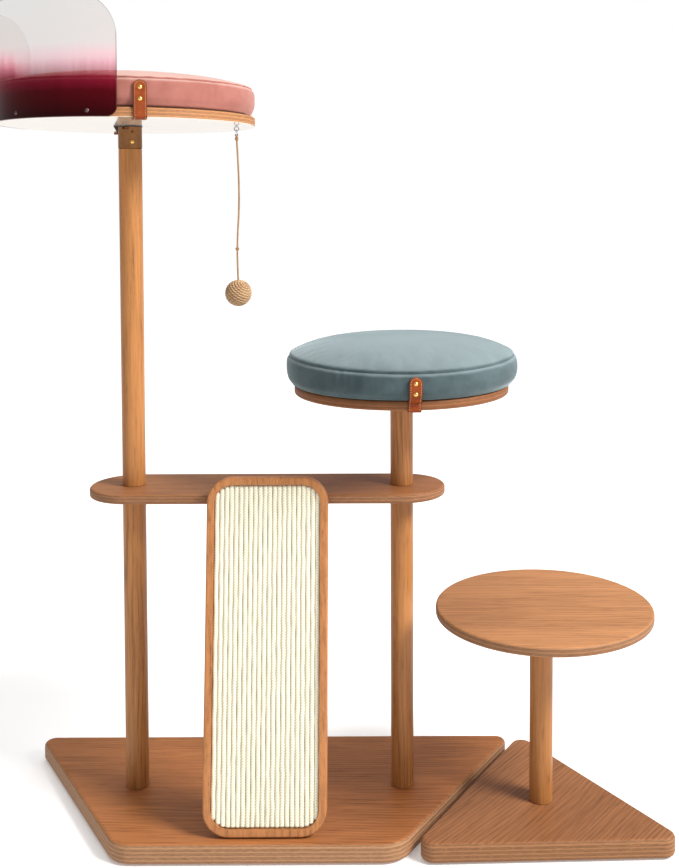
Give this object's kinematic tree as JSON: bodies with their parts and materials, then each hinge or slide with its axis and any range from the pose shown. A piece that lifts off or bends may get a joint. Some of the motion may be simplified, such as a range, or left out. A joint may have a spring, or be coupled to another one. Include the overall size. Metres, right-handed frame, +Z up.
{
  "type": "cat tree",
  "caption": "Wooden cat tree with a shelf, round cushioned perches, a clear curved screen, a hanging toy, a leaning scratching board and a loose side table.",
  "frame": {"origin": "middle of the whole footprint, on the floor", "axes": "+Z up, +X from the tall post towards the side table, +Y to the back"},
  "size_m": [1.0848, 0.436, 1.328],
  "materials": {
    "base_ply": "oiled plywood with rounded layered edges",
    "felt": "pressed felt",
    "steel": "zinc-plated",
    "post_wood": "satin lacquered straight grain",
    "shelf_ply": "oiled plywood",
    "perch_ply": "oiled plywood, layered edge",
    "table_ply": "oiled plywood",
    "white_laminate": "glossy cream-white laminate",
    "blue_velvet": "short-pile velvet",
    "pink_velvet": "short-pile velvet",
    "tan_leather": "stitched saddle leather",
    "brass": "polished",
    "bronze": "bronze-brown coated",
    "black_metal": "satin black",
    "tinted_acrylic": "clear at the top, wine red towards the rim",
    "bright_steel": "polished",
    "twine": "twisted jute twine",
    "sisal": "wound sisal rope",
    "board_wood": "satin lacquered",
    "ribbed_mat": "ribbed woven cord mat"
  },
  "bodies": {
    "main_unit": {"base_bolts": "steel", "base_washers": "steel", "blue_cushion": "blue_velvet", "blue_strap_back": "tan_leather", "blue_strap_front": "tan_leather", "blue_strap_rivets": "brass", "left_lower_post": "post_wood", "left_upper_post": "post_wood", "main_base": "base_ply", "main_base_pads": "felt", "middle_disc": "perch_ply", "middle_disc_nut": "steel", "middle_disc_stud": "steel", "post_inserts": "steel", "right_lower_post": "post_wood", "right_upper_post": "post_wood", "scratcher_dowels": "board_wood", "scratcher_frame": "board_wood", "scratcher_mat": "ribbed_mat", "scratcher_panel": "board_wood", "scratcher_screws": "steel", "shelf": "shelf_ply", "shelf_studs": "steel"},
    "top_perch": {"sleeve": "bronze", "sleeve_plate": "black_metal", "sleeve_gusset": "black_metal", "plate_screws": "steel", "lock_screw": "brass", "top_disc": "perch_ply", "top_laminate": "white_laminate", "pink_cushion": "pink_velvet", "pink_strap_front": "tan_leather", "pink_strap_back": "tan_leather", "pink_strap_rivets": "brass", "screen": "tinted_acrylic", "screen_screws": "bright_steel", "toy_eye": "black_metal"},
    "toy_link": {"toy_ring": "bright_steel"},
    "toy": {"toy_cord": "twine", "toy_ball": "sisal"},
    "side_unit": {"side_base": "base_ply", "side_base_bolt": "steel", "side_base_pads": "felt", "side_base_washer": "steel", "side_post": "post_wood", "side_post_inserts": "steel", "side_table_top": "table_ply", "side_table_top_nut": "steel", "side_table_top_stud": "steel"}
  },
  "joints": [
    {"name": "perch_swivel", "type": "hinge", "parent": "main_unit", "child": "top_perch", "pos_m": [-0.33015, 0.011, 1.125], "axis": [0, 0, 1], "continuous": true},
    {"name": "toy_swing_side", "type": "hinge", "parent": "top_perch", "child": "toy_link", "pos_m": [-0.15415, 0.011, 1.14], "axis": [0, 1, 0], "range_deg": [-60, 25]},
    {"name": "toy_swing_front", "type": "hinge", "parent": "toy_link", "child": "toy", "pos_m": [-0.15415, 0.011, 1.1343], "axis": [1, 0, 0], "range_deg": [-60, 60]},
    {"name": "side_unit_slide", "type": "slide", "parent": "main_unit", "child": "side_unit", "axis": [1, 0, 0], "range_m": [0, 0.3]}
  ]
}
